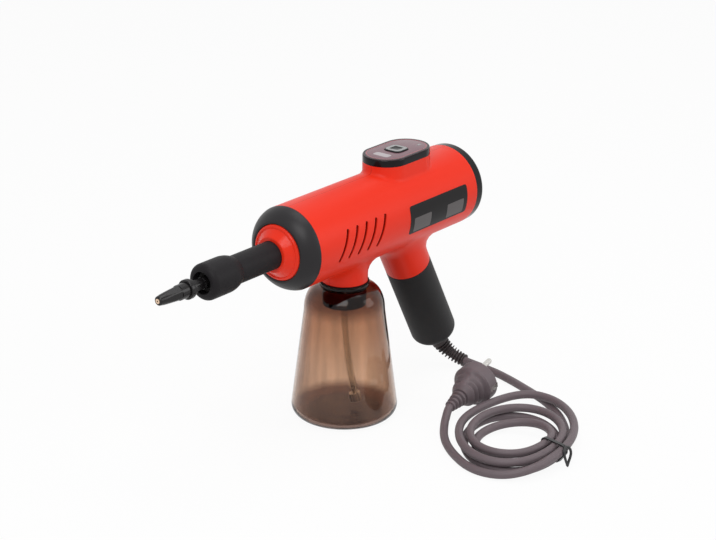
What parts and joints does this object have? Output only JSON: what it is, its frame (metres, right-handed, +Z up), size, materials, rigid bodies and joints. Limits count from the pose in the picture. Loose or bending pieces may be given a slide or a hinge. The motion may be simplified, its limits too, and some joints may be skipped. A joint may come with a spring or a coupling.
{
  "type": "handheld steam cleaner",
  "caption": "Gun-shaped handheld steam cleaner that stands on its twist-off water bottle, with lance, jet nozzle, top button panel, rubber grip and coiled mains cord.",
  "frame": {"origin": "centre of the water bottle's base, on the surface it stands on", "axes": "+X along the barrel towards the jet nozzle, +Y to the tool's left, +Z up"},
  "size_m": [0.367, 0.2635, 0.217],
  "materials": {
    "bottle_amber": "gloss",
    "housing_red": "gloss",
    "satin_black": "satin",
    "gloss_black": "gloss",
    "grip_rubber": "matte",
    "seal_rubber": "matte",
    "washer_rubber": "matte",
    "hose": "satin",
    "display": "gloss",
    "boiler_alloy": "satin",
    "pump_body": "satin",
    "steel": "satin",
    "brass": "satin",
    "board_green": "satin",
    "switch_grey": "satin",
    "carrier_tan": "matte",
    "fuse_white": "satin",
    "cord_grey": "satin",
    "tie_black": "satin"
  },
  "bodies": {
    "housing": {"inlet_spigot": "satin_black", "dip_hose": "hose", "hose_filter": "steel", "body_shell_left": "housing_red", "body_shell_right": "housing_red", "housing_screws": "steel", "front_ring": "satin_black", "front_collar": "housing_red", "lance_tube": "satin_black", "lance_sleeve": "satin_black", "steam_pipe": "steel", "rear_cap": "gloss_black", "panel_bezel": "gloss_black", "panel_window": "display", "control_board": "board_green", "tact_switch": "switch_grey", "boiler": "boiler_alloy", "boiler_carriers": "carrier_tan", "thermostat": "switch_grey", "thermal_fuse": "fuse_white", "feed_hose": "hose", "water_pump": "pump_body", "pump_mounts": "seal_rubber", "pump_cradle": "carrier_tan", "inlet_hose": "hose", "grip_sleeve": "grip_rubber", "power_board": "board_green", "cable_clamp": "switch_grey", "cord_inner": "cord_grey", "strain_relief": "grip_rubber", "cord_lead": "cord_grey", "cord_coil": "cord_grey", "cord_tie": "tie_black", "cord_tail": "cord_grey", "plug_body": "cord_grey", "plug_pins": "steel", "plug_clips": "steel"},
    "seal": {"bottle_seal": "seal_rubber"},
    "bottle": {"bottle": "bottle_amber"},
    "washer": {"nozzle_washer": "washer_rubber"},
    "jet": {"jet_nozzle": "satin_black", "jet_orifice": "brass"},
    "button": {"panel_button": "gloss_black"},
    "plunger": {"pump_plunger": "steel"}
  },
  "joints": [
    {"name": "bottle_twist", "type": "hinge", "parent": "housing", "child": "seal", "pos_m": [0, 0, 0.1187], "axis": [0, 0, -1], "range_deg": [0, 90]},
    {"name": "bottle_pull", "type": "slide", "parent": "seal", "child": "bottle", "axis": [0, 0, -1], "range_m": [0, 0.12]},
    {"name": "nozzle_twist", "type": "hinge", "parent": "housing", "child": "washer", "pos_m": [0.165, 0, 0.1674], "axis": [1, 0, 0], "range_deg": [0, 90]},
    {"name": "nozzle_pull", "type": "slide", "parent": "washer", "child": "jet", "axis": [1, 0, 0], "range_m": [0, 0.03]},
    {"name": "button_press", "type": "slide", "parent": "housing", "child": "button", "axis": [0, 0, -1], "range_m": [0, 0.001], "stiffness_N_per_m": 1500},
    {"name": "pump_stroke", "type": "slide", "parent": "housing", "child": "plunger", "axis": [1, 0, 0], "range_m": [-0.002, 0.002], "stiffness_N_per_m": 2000}
  ]
}
